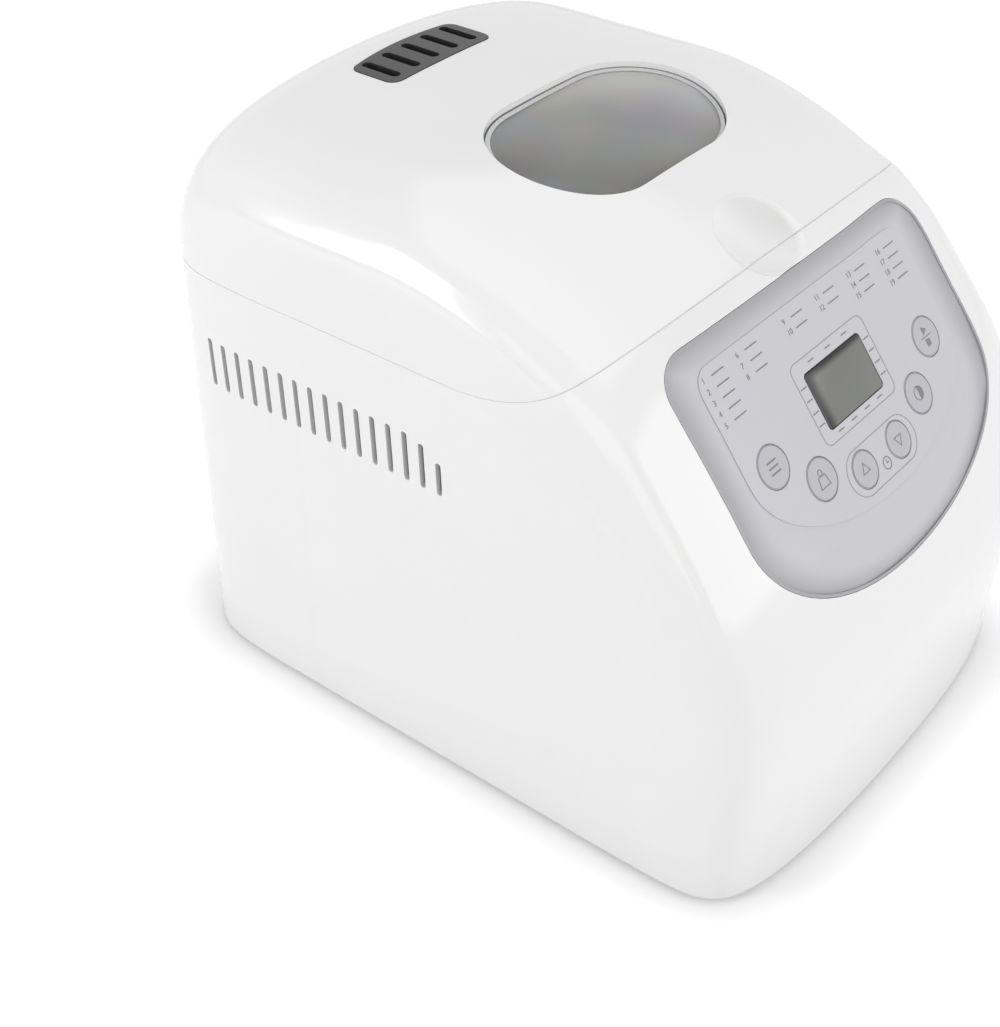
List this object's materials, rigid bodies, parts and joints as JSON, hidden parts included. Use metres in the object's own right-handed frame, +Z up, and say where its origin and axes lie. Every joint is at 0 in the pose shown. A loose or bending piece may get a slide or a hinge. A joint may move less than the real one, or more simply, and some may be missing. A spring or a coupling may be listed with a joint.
{
  "type": "bread machine",
  "caption": "Counter-top bread machine with a rounded white housing, hinged windowed lid, sloping key panel and a lift-out pan with a belt-driven kneading paddle.",
  "frame": {"origin": "on the floor under the middle of the machine's overall box", "axes": "+Z up, -Y to the front with the key panel, +X to the right seen from the front"},
  "size_m": [0.25, 0.3601, 0.2884],
  "materials": {
    "white_plastic": "high gloss",
    "panel_plastic": "satin",
    "overlay_film": "satin",
    "screen_glass": "clear",
    "window_glass": "tinted",
    "dark_plastic": "satin",
    "key_plastic": "satin",
    "inner_plastic": "satin",
    "circuit": "satin",
    "screen_body": "satin",
    "steel": "brushed",
    "liner_metal": "satin",
    "pan_coating": "non-stick coating",
    "heater_metal": "dull",
    "brass": "dull",
    "rubber": "matte",
    "motor_metal": "satin"
  },
  "bodies": {
    "housing": {"body_shell": "white_plastic", "control_panel": "panel_plastic", "keypad_overlay": "overlay_film", "screen_lens": "screen_glass", "screen_module": "screen_body", "control_board": "circuit", "key_switches": "dark_plastic", "hinge_brackets": "white_plastic", "hinge_pins": "steel", "oven_chamber": "steel", "chamber_deck": "inner_plastic", "heater_element": "heater_metal", "heater_clips": "steel", "pan_seat": "steel", "shaft_bearing": "brass", "drive_belt": "rubber", "motor": "motor_metal", "motor_bracket": "steel", "bracket_screws": "steel", "chamber_screws": "steel", "chassis_frame": "steel", "base_plate": "inner_plastic", "rubber_feet": "rubber", "base_screws": "steel", "run_capacitor": "dark_plastic", "power_board": "circuit", "cord_inlet": "dark_plastic", "temperature_sensor": "steel", "thermal_fuse": "steel"},
    "lid": {"lid_shell": "white_plastic", "lid_liner": "liner_metal", "lid_liner_screws": "steel", "lid_window": "window_glass", "vent_grille": "dark_plastic", "lid_hinge_leaves": "white_plastic"},
    "pan": {"bread_pan": "pan_coating", "pan_bearing": "brass"},
    "handle": {"pan_handle": "steel"},
    "paddle": {"pan_shaft": "steel", "kneading_paddle": "pan_coating"},
    "drive": {"drive_shaft": "steel", "driven_pulley": "dark_plastic"},
    "rotor": {"motor_shaft": "steel", "motor_pulley": "dark_plastic"},
    "menu_key_cap": {"menu_key": "key_plastic"},
    "weight_key_cap": {"weight_key": "key_plastic"},
    "time_up_key_cap": {"time_up_key": "key_plastic"},
    "time_down_key_cap": {"time_down_key": "key_plastic"},
    "colour_key_cap": {"colour_key": "key_plastic"},
    "start_stop_key_cap": {"start_stop_key": "key_plastic"}
  },
  "joints": [
    {"name": "lid_hinge", "type": "hinge", "parent": "housing", "child": "lid", "pos_m": [0, 0.17469, 0.218], "axis": [-1, 0, 0], "range_deg": [0, 85]},
    {"name": "pan_lift", "type": "slide", "parent": "housing", "child": "pan", "axis": [0, 0, 1], "range_m": [0, 0.015]},
    {"name": "handle_hinge", "type": "hinge", "parent": "pan", "child": "handle", "pos_m": [0, 0.0079, 0.19], "axis": [1, 0, 0], "range_deg": [0, 20]},
    {"name": "drive_spin", "type": "hinge", "parent": "housing", "child": "drive", "pos_m": [0, 0.0079, 0.02], "axis": [0, 0, 1], "continuous": true},
    {"name": "rotor_spin", "type": "hinge", "parent": "housing", "child": "rotor", "pos_m": [0, 0.1299, 0.02], "axis": [0, 0, 1], "continuous": true},
    {"name": "paddle_spin", "type": "hinge", "parent": "pan", "child": "paddle", "pos_m": [0, 0.0079, 0.08], "axis": [0, 0, 1], "continuous": true},
    {"name": "menu_key_press", "type": "slide", "parent": "housing", "child": "menu_key_cap", "axis": [0, 0.813, -0.5823], "range_m": [0, 0.0008], "stiffness_N_per_m": 800, "springref_m": -0.0003},
    {"name": "weight_key_press", "type": "slide", "parent": "housing", "child": "weight_key_cap", "axis": [0, 0.813, -0.5823], "range_m": [0, 0.0008], "stiffness_N_per_m": 800, "springref_m": -0.0003},
    {"name": "time_up_key_press", "type": "slide", "parent": "housing", "child": "time_up_key_cap", "axis": [0, 0.813, -0.5823], "range_m": [0, 0.0008], "stiffness_N_per_m": 800, "springref_m": -0.0003},
    {"name": "time_down_key_press", "type": "slide", "parent": "housing", "child": "time_down_key_cap", "axis": [0, 0.813, -0.5823], "range_m": [0, 0.0008], "stiffness_N_per_m": 800, "springref_m": -0.0003},
    {"name": "colour_key_press", "type": "slide", "parent": "housing", "child": "colour_key_cap", "axis": [0, 0.813, -0.5823], "range_m": [0, 0.0008], "stiffness_N_per_m": 800, "springref_m": -0.0003},
    {"name": "start_stop_key_press", "type": "slide", "parent": "housing", "child": "start_stop_key_cap", "axis": [0, 0.813, -0.5823], "range_m": [0, 0.0008], "stiffness_N_per_m": 800, "springref_m": -0.0003}
  ],
  "couplings": [
    {"joint": "rotor_spin", "follows": "drive_spin", "ratio": 4.5},
    {"joint": "paddle_spin", "follows": "drive_spin", "ratio": 1}
  ]
}
